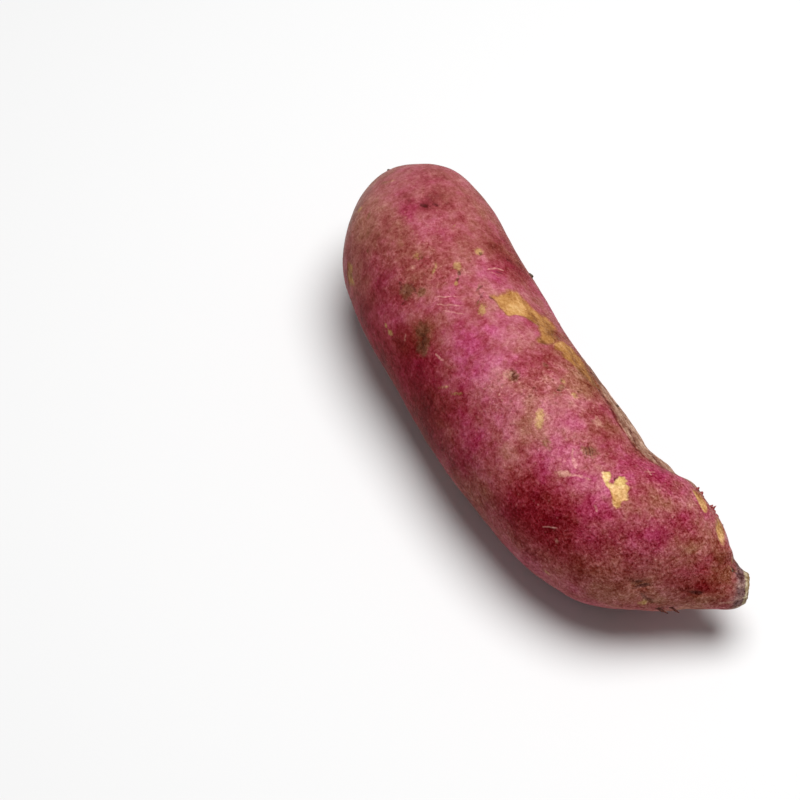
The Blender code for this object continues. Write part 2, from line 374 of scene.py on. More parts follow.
# Small marks: x, degrees, half length and half breadth, how its length leans, and its strength.
# Ochre marks are dried scars, olive ones are rough eyes, dark ones are pits, pale ones are scuffs.
Spot = namedtuple("Spot", "x turn length breadth lean strength")
SPOTS = {
    "ochre": each(Spot, (
        (-78.5, 138.5, 1.5, 1.3, 0, 0.95), (-79.5, 106, 3.4, 1.4, -54, 0.5),
        (-45.2, 111, 1.9, 1.6, 0, 0.65), (-39, 102.5, 1, 0.6, 0, 0.9), (-37.4, 105.5, 1.9, 0.7, 50, 0.9),
        (-34.8, 90.5, 2.2, 2, 36, 1), (-28.9, 97, 1.1, 0.8, 0, 0.9), (-38.4, 70, 2.2, 1.9, 36, 1),
        (-34.6, 153, 1.1, 0.9, 0, 1), (-31.6, 153, 1.7, 0.9, -15, 1), (-16, 91, 2.4, 1.6, 36, 0.95),
        (-52.5, 117, 1, 0.8, 0, 0.6), (18.5, 71.5, 1.5, 1, 0, 0.8), (24.5, 70.5, 1.7, 1.4, 0, 0.8),
        (27.4, 100.5, 4.2, 1.9, 36, 0.88), (8.2, 104, 1.8, 0.8, 36, 0.45), (-2.5, 141, 2.8, 0.8, -50, 0.8),
        (3, 135.5, 3, 0.8, -50, 0.8), (82.4, 176.5, 1.6, 0.9, -54, 0.8), (61, 182, 1.5, 1.2, 0, 0.8),
        (88.4, 80, 1.6, 0.6, -30, 0.8), (86, 62, 2.4, 0.7, 30, 0.6), (-50.5, 78, 0.8, 0.8, 0, 0.6),
    )),
    "olive": each(Spot, (
        (-81, 110, 3.2, 0.9, -50, 0.75), (-71.8, 132, 1.6, 1.2, 36, 0.9), (-66.5, 136, 2.6, 1.6, 36, 0.6),
        (-61, 141, 2, 1, 36, 0.6), (-44, 109, 2.4, 1.4, 36, 0.65), (-36.8, 127.5, 3.4, 3, 36, 1),
        (-33, 119.5, 2.3, 2, 0, 0.9), (-22.5, 131.5, 3.6, 3.4, 36, 0.9), (-18.5, 137, 4.4, 3.4, 36, 1),
        (-32.6, 91.5, 1.2, 0.9, 36, 0.8), (-30.4, 95, 1.5, 0.6, 36, 0.7), (-24.5, 84, 2.8, 0.9, 36, 0.65),
        (-19, 91, 1.4, 0.7, 36, 0.8), (10.5, 99, 3, 2.4, 10, 0.9), (11, 75.5, 1.6, 1.3, 0, 0.75),
        (35, 72, 2, 1.2, 0, 0.7), (-69, 10, 3.2, 2.2, 90, 0.8), (-13, -8, 3.6, 2.4, 90, 0.85),
        (35, -24, 3.2, 2.2, 90, 0.8), (-45, 312, 3.2, 2.2, 90, 0.8), (11, 226, 3.4, 2.4, 90, 0.85),
        (-57, 216, 3.2, 2.2, 90, 0.8), (-94.6, 300, 2.6, 2.2, 0, 0.9), (20.5, 75.5, 2.4, 1.4, 60, 0.75),
        (30.5, 105, 1.8, 1.2, 36, 0.6), (28.8, 101, 1.8, 0.9, 36, 0.65), (35.5, 107.5, 4.5, 2.4, 36, 0.65),
        (44.6, 88.5, 4.2, 3, -54, 0.8), (17, 56, 5, 3, 20, 0.5), (-7, 47, 3, 2, 20, 0.7),
        (0, 50, 3, 1.4, 20, 0.8), (80.9, 158, 1.7, 1.2, -54, 0.7), (83.5, 175, 2.6, 1.4, 30, 0.75),
        (84.5, 45, 4, 1.6, 30, 0.7),
    )),
    "dark": each(Spot, (
        (-62.2, 92, 2.2, 1.2, -54, 0.75), (-60.4, 84.5, 1.9, 1.1, -54, 0.72),
        (-69.6, 10, 2.4, 0.9, 90, 0.9), (-13.6, -8, 2.8, 0.9, 90, 1), (34.4, -24, 2.4, 0.9, 90, 0.9),
        (-45.6, 312, 2.4, 0.9, 90, 0.9), (10.4, 226, 2.6, 0.9, 90, 1), (-57.6, 216, 2.4, 0.9, 90, 0.9),
        (-95, 300, 1.1, 0.9, 0, 1), (-37.2, 127.5, 1.3, 1, 36, 0.7), (-20.8, 134.5, 1.8, 1, 36, 0.6),
        (-17, 140, 1.2, 0.9, 20, 0.6), (-32.6, 91.5, 1.1, 0.8, 36, 1), (-37.6, 69, 1.1, 0.9, 36, 1),
        (-19.5, 80.5, 1, 0.7, -10, 0.9), (10.6, 98.2, 2, 1.3, 20, 0.9), (8.6, 98.6, 0.7, 0.6, 0, 0.8),
        (18, 71.8, 0.7, 0.6, 0, 0.9), (21.2, 71.5, 0.8, 0.6, 0, 0.9), (21.2, 78.5, 1.4, 0.7, -54, 0.8),
        (56.4, 93.6, 1.1, 0.5, 36, 0.8), (81.8, 160, 1.7, 0.9, -54, 1), (80.6, 157, 1.2, 0.7, -54, 0.8),
        (89.5, 157, 1.2, 1.1, 0, 1), (82.4, 169.5, 1.7, 0.6, 57, 0.8), (83.5, 173, 1.9, 0.6, 68, 0.85),
        (88.2, 77, 1.1, 0.5, 42, 0.95), (89.7, 85.5, 0.9, 0.45, 42, 0.95),
    )),
    "pale": each(Spot, (
        (-42.4, 116, 1.1, 1, 0, 0.8), (-25.5, 144.5, 1.1, 0.8, 40, 0.9), (-28.6, 66, 2.4, 0.5, -50, 0.6),
        (8.4, 101.5, 1.8, 1.5, 0, 0.85), (7.6, 100, 0.9, 0.8, 0, 0.7), (36, 68.5, 2.4, 1.6, 36, 0.85),
        (47.4, 112, 3.2, 1.1, -54, 0.9), (37.5, 96.5, 1, 0.8, 0, 0.6), (60, 152.5, 1, 0.7, 36, 0.8),
        (45.6, 114, 1.6, 0.9, -54, 0.7), (82.4, 173.5, 0.6, 0.5, 0, 0.9), (94.5, 170, 1.6, 0.7, -30, 0.8),
        (-73, 119, 3.5, 2, -54, 0.35),
    )),
}
KINDS = tuple(SPOTS)

# Where the skin is speckled: x, degrees, half length and half breadth, and how much.
SPECKLED = (
    (17, 93, 8, 7, 0.9), (22, 66, 9, 8, 1), (11, 113, 7, 7, 0.7),
    (-37, 100, 14, 13, 0.5), (42, 98, 9, 9, 0.5), (70, 72, 12, 14, 0.45),
    (-62, 105, 16, 20, 0.3), (80, 158, 7, 7, 0.6), (0, 300, 60, 30, 0.35),
)

# The old folded skin above the waist: its outline, and its folds.
FOLD = (
    (4, 32), (12, 38), (20.5, 44), (27, 45), (35, 49.5), (42, 52), (46.5, 50), (52.5, 51),
    (55.5, 42.5), (59, 37), (66, 38), (71, 36), (66, 26), (58, 14), (46, 6), (30, 4), (14, 12),
)
FOLD_LINE = ((4, 58), (24, 34))  # the folds follow this line: the x of both ends, and the degrees there
FOLD_FADE = (4, 30)  # no folds at the first of these turns, and whole ones from the second
FOLD_APART = 2.1
FOLD_HEIGHT = 0.16
FOLD_WANDER = 1.6  # how far they wander to the side
FOLD_RIM = (0.22, 0.2, 0.6)  # the crease round them: how deep, how far inside their outline, and how wide

# Thin lines: the x and degrees of each end, and half the width. Cracks are dark, and scratches pale.
Stroke = namedtuple("Stroke", "start end width")
STROKES = {
    "crack": each(Stroke, (
        ((-62, 93), (-61.4, 89), 0.3), ((-41.5, 128), (-38.5, 129.5), 0.45),
        ((-35.6, 131), (-35, 135), 0.4), ((-38.2, 122.6), (-34.2, 123), 0.35),
        ((-21.4, 132), (-19.4, 133.2), 0.2), ((-20.4, 135.4), (-18.2, 137.2), 0.2),
        ((-31.4, 93.5), (-29.4, 95.4), 0.2), ((-29.6, 65.5), (-28.6, 60.5), 0.3),
        ((-24.6, 81.5), (-23.4, 87), 0.28), ((-22.6, 85.5), (-20.2, 86), 0.25),
        ((-21.8, 82.5), (-19.6, 90.5), 0.18), ((-19.5, 79.8), (-13.6, 79.3), 0.22),
        ((42.8, 89.2), (45.6, 92), 0.2), ((42.6, 86.4), (46.2, 90.2), 0.2),
        ((43.4, 84.8), (46, 88.2), 0.18), ((80.8, 160.8), (82.2, 157), 0.4), ((81, 163), (82, 161), 0.3),
        ((21.5, 46), (25.5, 44.5), 0.35), ((88.8, 84.5), (90.2, 87.5), 0.2),
        ((56, 90.6), (56.8, 94.6), 0.18),
    )),
    "scratch": each(Stroke, (
        ((41.2, 96.8), (44.6, 100.4), 0.22), ((44.4, 100.2), (47.6, 104), 0.5),
        ((45.8, 114.2), (49, 109), 0.75), ((48.6, 109.6), (52.8, 104.2), 0.4),
        ((-12.6, 132.6), (-9, 130.4), 0.3), ((-31, 70), (-31, 63), 0.28), ((-31, 63), (-29.8, 58), 0.28),
        ((-28.5, 113), (-24.6, 101), 0.16), ((-26, 114), (-20.5, 100), 0.16),
        ((-23, 112), (-17.5, 103), 0.16), ((54.5, 150), (58, 145), 0.15), ((56.3, 65), (58.8, 68.5), 0.25),
        ((57.5, 62), (57, 70), 0.18), ((60.4, 118), (62.6, 120.5), 0.25),
    )),
}

# The sides that the photo doesn't show get marks of the same kinds, drawn at random from this seed.
HIDDEN_SEED = 5
HIDDEN_TURNS = (205.0, 372.0)
HIDDEN_RUN = (-84.0, 82.0)
HIDDEN_UPPER = (-45.0, 25.0)  # hair roots and crumbs grow in these turns, clear of the floor
HIDDEN_TONES = 34
HIDDEN_SPOTS = 46
HIDDEN_SHARES = (0.35, 0.3, 0.2, 0.15)  # how many of them are ochre, olive, dark and pale

# Small changes to the outline of the plain solid: where, half the length and breadth of each, and its height.
SHAPING = (
    (46, 24, 7, 11, 1.6), (55.5, 34, 3.8, 10, -1.1), (61.5, 32, 3, 7, 0.5), (-77, 55, 9, 11, 1.3),
    (-22, 22, 18, 9, 0.8), (82.2, 187, 3.4, 7, 1.6), (74.5, 193, 4.5, 6, -0.5), (76, 33, 6, 8, 0.9),
    (60, 200, 6, 7, -0.4), (84.4, 46, 2.2, 5.5, 2.6),
)

# The relief of plain skin: height, size of its features, their share of that size along the root, and seed.
RELIEF = ((0.24, 15, 1, 41), (0.07, 4.5, 1, 42), (0.05, 2.4, 0.22, 43))
PIT_DEPTH = 0.5
ROUGH_DEPTH = 0.12  # of the rough eyes
SCAR_RISE = 0.12  # of the ochre scars
LIP = (0.06, 0.5, 0.45)  # the torn lip round a scrape: how high, how far outside, and how wide

# The cut stalk: the middle of its face, the way that it faces, and its radius.
CUT = np.array((91.3, 27.4, 21.4))
CUT_AXIS = np.array((0.47, 0.883, 0.0))
CUT_RADIUS = 5.6
COLLAR = 3.8  # how far behind the rim the bark starts
CUT_BAND = 1.2  # the pale worn band behind the rim
STALK_REACH = 1.0  # the stalk stands out this much further than its solid
STALK_TILT = 0.1  # and that much more for each millimetre upwards
STALK_WORN = 1.1  # its rim is worn in by this much, on the side at this many degrees round its axis,
STALK_WORN_SIDE = 37.0
STALK_WORN_LOW = 0.45  # and by this much on the side across from that
NECK_SWELL = 0.8  # its neck is thicker there: how much, how far behind the face, and how long
NECK_BEHIND = 4.0
NECK_LENGTH = 3.5
NOTCH = 0.7  # the groove on its worn side: how deep, how far behind the face, and how wide
NOTCH_BEHIND = 3.6
NOTCH_WIDTH = 0.8
BARK_RELIEF = 0.25
CUT_RELIEF = 0.22
PITH_SUNK = 0.35
TORN_RISE = 0.3  # of fibres at the rim
STALK_FADE = (1, 8)  # the skin's own relief fades out this near behind the cut


def hidden_tones(draw):
    """Broad tones for the sides that the photo doesn't show."""
    for _ in range(HIDDEN_TONES):
        x, turn = draw.uniform(*HIDDEN_RUN), draw.uniform(*HIDDEN_TURNS)
        along, around = draw.uniform(5, 14), draw.uniform(5, 10)
        yield Tone(x, turn, along, around, draw.normal(0, 0.05), draw.normal(0.04, 0.2))


def hidden_spots(draw):
    """Small marks for those sides: ochre flecks, olive eyes with a dark heart, pits and scuffs."""
    found = {kind: [] for kind in KINDS}
    for _ in range(HIDDEN_SPOTS):
        x, turn = draw.uniform(*HIDDEN_RUN), draw.uniform(*HIDDEN_TURNS)
        length, breadth = draw.uniform(1.0, 3.2), draw.uniform(0.8, 1.8)
        lean, strength = draw.uniform(0, 180), draw.uniform(0.6, 1.0)
        kind = draw.choice(KINDS, p=HIDDEN_SHARES)
        found[kind].append(Spot(x, turn, length, breadth, lean, strength))
        if kind == "olive":
            found["dark"].append(Spot(x, turn, length * 0.5, breadth * 0.4, lean + 30, 0.85))
    return found


def store(mesh, name, values):
    made = mesh.attributes.new(name, "FLOAT", "POINT")
    made.data.foreach_set("value", np.asarray(values, dtype=np.float32))


def tone_fields(places, tones):
    """How much lighter and how much browner each point is."""
    light, brown = np.zeros(len(places.x)), np.zeros(len(places.x))
    for tone in tones:
        blob = places.blob(tone.x, tone.turn, tone.along, tone.around, ragged=2.5)
        light += tone.light * blob
        brown += tone.brown * blob
    return light, brown


def scrape_fields(places):
    """How far inside a scrape each point is, and how pale and how deep the scrape is there."""
    bare, pale, depth = np.full(len(places.x), -5.0), np.zeros(len(places.x)), np.zeros(len(places.x))
    for scrape in SCRAPES:
        inside = places.inside(scrape.outline)
        ends = [x for x, _ in scrape.outline]
        share = np.clip((places.x - min(ends)) / (max(ends) - min(ends)), 0, 1)
        here = inside > bare
        pale = np.where(here, scrape.pale + (scrape.pale_end - scrape.pale) * share, pale)
        depth = np.where(here, scrape.depth, depth)
        bare = np.maximum(bare, inside)
    return bare, pale + CREAM_SHARE * places.blob(*CREAM), depth


def spot_fields(places, spots):
    """How strongly each point has each kind of small mark."""
    fields = {}
    for kind in KINDS:
        field_here = np.zeros(len(places.x))
        for spot in (*SPOTS[kind], *spots[kind]):
            blob = places.blob(spot.x, spot.turn, spot.length, spot.breadth, spot.lean, ragged=0.8)
            field_here = np.maximum(field_here, spot.strength * blob)
        fields[kind] = field_here
    return fields


def stroke_fields(places):
    """How strongly each point has each kind of thin line. The lines wander, taper, and fade in places."""
    worn = 0.75 + 0.6 * field(places.point, 1.6, 71, 2)
    fields = {}
    for kind, strokes in STROKES.items():
        total = np.zeros(len(places.x))
        for stroke in strokes:
            off, share = places.off_line(stroke, ragged=0.9)
            width = stroke.width * (0.35 + 0.65 * np.sqrt(4 * share * (1 - share)))
            total = np.maximum(total, np.clip(1.6 - off / width, 0, 1) * worn)
        fields[kind] = np.clip(total, 0, 1)
    return fields


def fold_field(places):
    """The long shallow folds above the waist: their height, and how folded the skin is at each point."""
    _, aside = places.off(places.x, np.interp(places.x, *FOLD_LINE))
    inside = places.inside(FOLD) + 0.7 * field(places.point, 4.0, 52, 2)
    share = smooth_step(inside, -0.3, 1.4) * smooth_step(places.turn + 6 * places.stray[0], *FOLD_FADE)
    wander = FOLD_WANDER * field(places.point * (0.3, 1.0, 1.0), 6.0, 51, 3)
    folds = FOLD_HEIGHT * share * np.sin(2 * np.pi * (aside + wander) / FOLD_APART)
    deep, within, width = FOLD_RIM
    crease = deep * bell(inside, within, width) * smooth_step(places.turn, *FOLD_FADE)
    return folds - crease, share


def stalk_fields(places):
    """How far behind the cut each point is, how far from the stalk's axis, and the turn round that axis."""
    away = places.point - CUT
    behind = -away @ CUT_AXIS
    level = np.array((-CUT_AXIS[1], CUT_AXIS[0], 0.0))
    aside, above = away @ level, away[:, 2]
    return behind, np.hypot(aside, above), np.arctan2(above, aside)


def shape_stalk(places, behind, out, round_turn):
    """Shapes the stalk's bark, rim and cut. Gives how much each point is in the cut, how high the bark's
    fibres are there, and how far it then is from the rim."""
    near_axis = smooth_step(-out, -9.0, -7.0)
    near = smooth_step(-behind, -7.0, -1.5) * near_axis
    face = smooth_step(-behind, -0.35, 0.1) * near
    ring = np.stack([np.cos(round_turn) * 5, np.sin(round_turn) * 5, behind * 0.25], axis=1)
    fibre = field(ring, 2.4, 61, 3)
    tear = field(ring, 3.4, 62, 2)
    sideways = places.point - CUT
    sideways += behind[:, None] * CUT_AXIS
    sideways /= np.maximum(out, 0.5)[:, None]
    upper = 0.5 + 0.5 * np.cos(round_turn - np.radians(STALK_WORN_SIDE))
    worn = (STALK_WORN_LOW + (STALK_WORN - STALK_WORN_LOW) * upper) * smooth_step(-behind, -2.6, 0.0)
    swell = near * (BARK_RELIEF * fibre * (1 - face) - worn * np.minimum(out / CUT_RADIUS, 1))
    swell -= NOTCH * upper**2 * near_axis * bell(behind, NOTCH_BEHIND, NOTCH_WIDTH)
    swell += NECK_SWELL * (1 - upper) ** 2 * near_axis * bell(behind, NECK_BEHIND, NECK_LENGTH)
    rough = field(places.point, 0.8, 63, 3)
    reach = STALK_REACH + STALK_TILT * (places.point[:, 2] - CUT[2])
    pull = reach * smooth_step(-behind, -6.0, 0.0) * near_axis
    lift = pull + face * (CUT_RELIEF * rough - PITH_SUNK * smooth_step(-out, -2.4, -0.8))
    lift += TORN_RISE * face * tear * smooth_step(out, 3.6, 5.6)
    places.point += sideways * swell[:, None] + CUT_AXIS * lift[:, None]
    from_rim = np.where(near_axis > 0, behind + reach - pull, FAR)
    return face, fibre, np.minimum(from_rim, FAR)


def relief(places, marks, bare, depth, fold):
    """How far each point of the skin moves outwards, in millimetres."""
    point = places.point
    height = fold + sum(rise * places.blob(*where) for *where, rise in SHAPING)
    for rise, size, share, seed in RELIEF:
        height += rise * field(point * (1, share, share), size, seed, 2)
    height -= PIT_DEPTH * np.minimum(marks["dark"], 0.9)
    height -= ROUGH_DEPTH * marks["olive"] * (1 + field(point, 1.3, 44))
    height += SCAR_RISE * np.minimum(marks["ochre"], 0.6)
    height -= depth * smooth_step(bare, -0.3, 0.6)
    high, outside, width = LIP
    height += high * bell(bare, -outside, width)
    return height


def along(places, table):
    """What a table of x and values gives at each point."""
    return np.interp(places.x, *table)


def blobs(places, rows, ragged):
    """How much of a table's places lies on each point, at most 1."""
    return np.minimum(sum(share * places.blob(*where, ragged=ragged) for *where, share in rows), 1)


def finish_skin(skin):
    """Shapes the skin's relief and marks, and stores on its points what the shader needs."""
    places = Places(skin.data)
    draw = np.random.default_rng(HIDDEN_SEED)
    light, brown = tone_fields(places, TONES + list(hidden_tones(draw)))
    bare, scar, depth = scrape_fields(places)
    marks = spot_fields(places, hidden_spots(draw))
    fold, folded = fold_field(places)
    behind, out, round_turn = stalk_fields(places)
    height = relief(places, marks, bare, depth, fold) * smooth_step(behind, *STALK_FADE)
    places.point += places.out * height[:, None]
    face, fibre, from_rim = shape_stalk(places, behind, out, round_turn)
    places.point[:, 2] = np.maximum(places.point[:, 2], 0)
    skin.data.vertices.foreach_set("co", (places.point * MM).ravel())
    skin.data.update()

    up = places.out[:, 2]
    flank = 1 - smooth_step(up, 0.0, 0.5)
    stored = {
        **marks,
        **stroke_fields(places),
        # painted shade: darker in the fold valleys and in the crease round the folds
        "light": light + 0.5 * np.minimum(fold, 0),
        "brown": brown, "bare": bare, "scar": scar, "folded": folded,
        "grain": along(places, GRAIN),
        "cloud": along(places, CLOUD),
        "mottle": along(places, MOTTLE) + flank * along(places, FLANK),
        "blotch": along(places, BLOTCH) * smooth_step(up, 0.3, 0.8),
        # painted sheen: a pale haze on the up-facing skin
        "painted_sheen": along(places, PAINTED_SHEEN) * smooth_step(up, -0.2, 0.6),
        "speckle": blobs(places, SPECKLED, 2.5),
        # painted shade: deep crimson on the shaded lower flank and in the hollow by the stalk
        "deep": blobs(places, PAINTED_SHADE, 1.5),
        "from_rim": from_rim, "cut": face, "fibre": fibre, "core": out / CUT_RADIUS,
        "low": (CUT[2] - places.point[:, 2]) / CUT_RADIUS,
    }
    for name, values in stored.items():
        store(skin.data, name, values)


# The skin's colour at each lightness, where it is most magenta and brownest, with the lighter stops greyed
# as a painted sheen; and the deep crimson of the painted shade.
MAGENTA = (
    (0.2, (98, 4, 22)), (0.3, (132, 24, 50)), (0.37, (153, 50, 78)), (0.44, (173, 73, 107)),
    (0.51, (190, 96, 131)), (0.57, (205, 116, 145)), (0.66, (224, 146, 158)),
)
BROWN = (
    (0.2, (90, 26, 12)), (0.3, (117, 56, 38)), (0.37, (140, 84, 64)), (0.44, (159, 104, 86)),
    (0.51, (177, 124, 104)), (0.57, (194, 146, 118)), (0.66, (212, 172, 128)),
)
PAINTED_SHADE_COLOURS = ((0.12, (78, 0, 6)), (0.3, (116, 8, 20)), (0.45, (158, 40, 62)))
MEAN_LIGHT = 0.39
MEAN_HUE = 0.42  # from 0, most magenta, to 1, brownest
CLOUD_LIGHT = 0.85  # how strongly the clouds and the mottling show in lightness
MOTTLE_LIGHT = 0.42
BLOTCH_HUE = 0.5  # and in hue the blotches, and all of it together
HUE_SPREAD = 2.3

# The shaders' noises: the size of their features, detail, roughness and seed. In two of them the features are
# longer along the root, because the places are multiplied by these.
NOISES = {
    "clouds": (24, 5, 0.85, 0), "hues": (12, 3, 0.65, 3), "mottle": (3.2, 3, 0.85, 4),
    "blotches": (6, 2, 0.7, 5), "ragged": (1.5, 3, 0.85, 8), "scrape_edge": (3.5, 2, 0.6, 18),
    "flesh": (3.4, 3, 0.7, 9, (0.6, 1, 1)), "folds": (1.4, 3, 0.75, 16, (0.15, 1, 1)),
    "green": (5, 3, 0.7, 17), "grain": (0.95, 2, 1, 1), "threads": (2.4, 2, 0.55, 11),
    "thready": (9, 3, 0.7, 12), "fine": (0.5, 2, 0.5, 6), "bark": (0.9, 3, 0.8, 14),
    "pith": (0.7, 3, 0.7, 15), "soil": (0.6, 3, 0.7, 21),
}

# Small uneven dots: the size of their cells, their radius, the share of cells that have one, and the seed.
DOTS = {"dark": (2.1, 0.5, 0.6, 31), "pale": (1.7, 0.4, 0.35, 32), "grain": (1.7, 0.26, 0.35, 2)}

# How strong the grain, the clouds and the mottling are at each x.
GRAIN = ((-85, -50, 0, 35, 75), (0.45, 0.75, 1.1, 1.5, 2.1))
CLOUD = ((-80, -65, -30, 45, 65), (0.3, 0.55, 0.9, 0.9, 0.7))
MOTTLE = ((-85, -60, -30, 60), (1, 0.8, 0.35, 0.1))
FLANK = ((-30, 5), (0.8, 0))  # more mottling on the sides
BLOTCH = ((-85, -60, -30, 40, 58), (1, 0.8, 0.35, 0.4, 1.2))  # blotches on the upper side, in hue alone

# How much painted sheen, a dull pale haze, lies on the upper skin at each x, and its colour.
PAINTED_SHEEN = ((-92, -75, -50, -20), (0.18, 0.12, 0.03, 0))
PAINTED_SHEEN_COLOUR = (184, 132, 130)

# Painted shade: where the shaded lower flank and the hollow by the stalk are made deep crimson: x, degrees,
# half length and half breadth, how two lean, and how much.
PAINTED_SHADE = (
    (-22, 168, 26, 13, 1), (50, 150, 16, 12, 0.9), (89.5, 146, 2.8, 1.7, 61, 1), (87.2, 120, 3, 1.2, 61, 0.8),
    (66, 158, 14, 9, 0.35), (-50, 178, 22, 10, 0.6),
)

# The small marks in the order that they are laid on, how much they cover, and their colours.
MARK_COLOURS = (
    ("olive", 0.85, ((0.24, (74, 38, 22)), (0.34, (104, 60, 40)), (0.44, (136, 90, 64)),
                     (0.6, (186, 146, 112)))),
    ("ochre", 0.85, ((0.26, (122, 78, 46)), (0.38, (168, 128, 80)), (0.5, (202, 162, 108)),
                     (0.6, (222, 186, 136)))),
    ("dark", 0.8, ((0.3, (64, 14, 10)), (0.5, (96, 50, 40)))),
    ("pale", 0.55, ((0.3, (190, 132, 116)), (0.5, (218, 170, 148)))),
)

# How much dark dots, pale dots, cracks and scratches cover, and their colours.
FINE_COLOURS = ((0.65, (98, 44, 30)), (0.36, (220, 156, 138)), (0.6, (66, 22, 18)), (0.45, (226, 168, 152)))

# Dried flesh from brown to pale, its greener parts, and the thin rim of a scrape.
FLESH = (
    (0, (122, 74, 42)), (0.25, (162, 110, 60)), (0.5, (190, 140, 84)), (0.75, (212, 168, 114)),
    (1, (230, 194, 142)),
)
GREEN_FLESH = ((0.1, (126, 100, 52)), (0.9, (212, 184, 104)))
RIM_COLOUR = (110, 52, 28)

# The dried folds, from dark to pale; the painted shade in their valleys and crease moves them to the dark
# end.
FOLD_COLOURS = ((0.2, (78, 46, 36)), (0.31, (120, 80, 62)), (0.42, (156, 120, 98)), (0.56, (200, 168, 146)))

# The stalk's bark above and below, the worn band above and below, and the cut from its heart out.
BARK = ((0.15, (58, 30, 32)), (0.4, (92, 64, 64)), (0.65, (122, 90, 86)), (0.9, (158, 126, 116)))
LOW_BARK = ((0.15, (84, 54, 46)), (0.4, (120, 92, 78)), (0.65, (148, 124, 106)), (0.9, (186, 168, 148)))
BAND = ((0.15, (96, 76, 54)), (0.45, (156, 134, 102)), (0.8, (204, 186, 158)))
LOW_BAND = (88, 72, 38)
PITH = (
    (0.1, (148, 122, 78)), (0.45, (196, 172, 128)), (0.72, (178, 156, 116)), (0.86, (110, 84, 60)),
    (0.98, (150, 126, 92)),
)


def folded_skin(g, light):
    """The grey-brown colour of the dried folds, in fine streaks along the root."""
    return g.ramp(g.sum(g.times(g.wave("folds"), 0.9), light), FOLD_COLOURS)


def plain_skin(g):
    """The skin's lightness and colour without its marks, with painted shade and a painted sheen."""
    clouds = g.times(g.wave("clouds"), g.given("cloud"))
    light = g.sum(g.sum(g.times(clouds, CLOUD_LIGHT), MEAN_LIGHT), g.given("light"))
    mottle = g.times(g.wave("mottle"), g.given("mottle"))
    light = g.sum(light, g.times(mottle, MOTTLE_LIGHT))
    hue = g.times(g.wave("hues", 0.47), g.given("cloud"))
    blotch = g.times(g.given("blotch"), BLOTCH_HUE)
    hue = g.sum(hue, g.times(g.wave("blotches", 0.48), blotch))
    hue = g.sum(g.times(hue, HUE_SPREAD), g.sum(g.given("brown"), MEAN_HUE))
    base = g.mix(hue, g.ramp(light, MAGENTA), g.ramp(light, BROWN))
    # painted shade: deep crimson on the shaded lower flank and in the hollow by the stalk
    base = g.mix(g.times(g.given("deep"), 0.85), base, g.ramp(light, PAINTED_SHADE_COLOURS))
    # painted sheen: greyer on the up-facing skin
    base = g.mix(g.given("painted_sheen"), base, colour(*PAINTED_SHEEN_COLOUR))
    return light, g.mix(g.times(g.given("folded"), 0.85), base, folded_skin(g, light))


def marked_skin(g, base, light, ragged, speckle):
    """The skin with its small marks, then dots and thin lines on top."""
    for kind, share, stops in MARK_COLOURS:
        here = g.rise(g.sum(g.given(kind), g.times(ragged, 1.4)), 0.3, 0.8)
        base = g.mix(g.times(here, share), base, g.ramp(light, stops))
    fine = (
        g.times(g.dots("dark", ragged), speckle),
        g.times(g.dots("pale", ragged), g.sum(g.times(speckle, 0.8), 0.15)),
        g.given("crack"),
        g.given("scratch"),
    )
    for here, (share, shade) in zip(fine, FINE_COLOURS):
        base = g.mix(g.times(here, share), base, colour(*shade))
    return base


def bare_flesh(g):
    """Dried flesh: paler or browner by the scrape, with streaks along the root and greener places."""
    scar = g.given("scar")
    tone = g.sum(scar, g.times(g.wave("flesh"), 1.4))
    green = g.times(g.rise(g.noise("green"), 0.46, 0.62), g.rise(scar, 0.45, 0.8, 0.0, 0.55))
    return g.mix(green, g.ramp(tone, FLESH), g.ramp(tone, GREEN_FLESH))


def scraped_skin(g, base, ragged):
    """The skin with its scrapes, which have uneven edges and a thin brown rim."""
    uneven = g.times(g.wave("scrape_edge"), 2.0)
    inside = g.sum(g.given("bare"), g.sum(g.times(ragged, 0.8), uneven))
    soft = g.rise(g.sum(g.given("scar"), g.times(ragged, 0.6)), 0.2, 0.7, 1.1, 0.3)
    rim = g.times(g.rise(inside, -0.5, -0.1), g.rise(inside, 0.5, 0.1))
    base = g.mix(g.rise(inside, g.times(soft, -1.0), soft), base, bare_flesh(g))
    return g.mix(g.times(rim, 0.12), base, colour(*RIM_COLOUR))


def cut_stalk(g, base, ragged):
    """The stalk: purple-grey bark, browner below, a pale worn band at the rim, and the pith in the cut."""
    low = g.given("low")
    fibre = g.sum(g.times(g.given("fibre"), 0.4), g.times(g.wave("bark"), 1.5))
    fibre = g.sum(fibre, 0.5)
    bark = g.mix(g.rise(low, -0.2, 0.7), g.ramp(fibre, BARK), g.ramp(fibre, LOW_BARK))
    band = g.mix(g.rise(low, 0.45, 0.8), g.ramp(fibre, BAND), colour(*LOW_BAND))
    from_rim = g.sum(g.given("from_rim"), g.times(ragged, 3.0))
    base = g.mix(g.rise(from_rim, COLLAR + 3.0, COLLAR, 0.0, 0.35), base, bark)
    base = g.mix(g.rise(from_rim, COLLAR + 0.9, COLLAR - 0.9, 0.0, 0.9), base, bark)
    base = g.mix(g.rise(from_rim, CUT_BAND + 0.3, CUT_BAND - 0.3), base, band)
    pith = g.sum(g.given("core"), g.times(g.wave("pith"), 0.5))
    return g.mix(g.given("cut"), base, g.ramp(pith, PITH))


def skin_grain(g, ragged, speckle):
    """How much lighter each place is by its fine grain, threads and dots."""
    shown = g.sum(g.times(g.rise(g.noise("thready"), 0.4, 0.6), 0.05), g.times(speckle, 0.07))
    threads = g.times(g.threads("threads", 0.5), shown)
    grain = g.times(g.times(g.wave("grain"), g.given("grain")), 0.37)
    return g.sum(grain, g.sum(threads, g.times(g.dots("grain", ragged), 0.05)))


